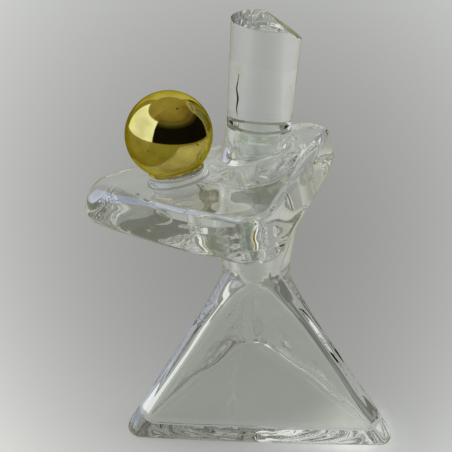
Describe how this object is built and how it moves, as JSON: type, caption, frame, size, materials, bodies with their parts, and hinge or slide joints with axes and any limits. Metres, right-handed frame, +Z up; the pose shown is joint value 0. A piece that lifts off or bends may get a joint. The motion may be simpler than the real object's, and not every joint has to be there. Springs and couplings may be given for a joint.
{
  "type": "glass perfume bottle",
  "caption": "Clear glass flacon shaped like an abstract figure: three-sided skirt, waist, slanted slab with a gilt ball, round neck and lift-out solid glass stopper with an oblique top.",
  "frame": {"origin": "the point of the flat base under the neck's upright axis", "axes": "+Z up along the neck's axis, -Y out of the skirt's flat front face, +X to the right when facing it"},
  "size_m": [0.0794, 0.086, 0.1033],
  "materials": {
    "clear_glass": "fire polished",
    "stopper_glass": "fire polished, oblique face sawn and polished",
    "sleeve_plastic": "translucent polyethylene",
    "gilt_metal": "polished gilt with small pits",
    "insert_plastic": "moulded",
    "clear_cement": "cured clear cement"
  },
  "bodies": {
    "bottle": {"bottle_body": "clear_glass", "gold_ball": "gilt_metal", "ball_insert": "insert_plastic", "ball_cement": "clear_cement"},
    "sleeve": {"stopper_sleeve": "sleeve_plastic"},
    "stopper": {"stopper": "stopper_glass"}
  },
  "joints": [
    {"name": "stopper_lift", "type": "slide", "parent": "bottle", "child": "sleeve", "axis": [0, 0, 1], "range_m": [0, 0.02]},
    {"name": "stopper_turn", "type": "hinge", "parent": "sleeve", "child": "stopper", "pos_m": [0, 0, 0.0764], "axis": [0, 0, 1], "continuous": true}
  ]
}
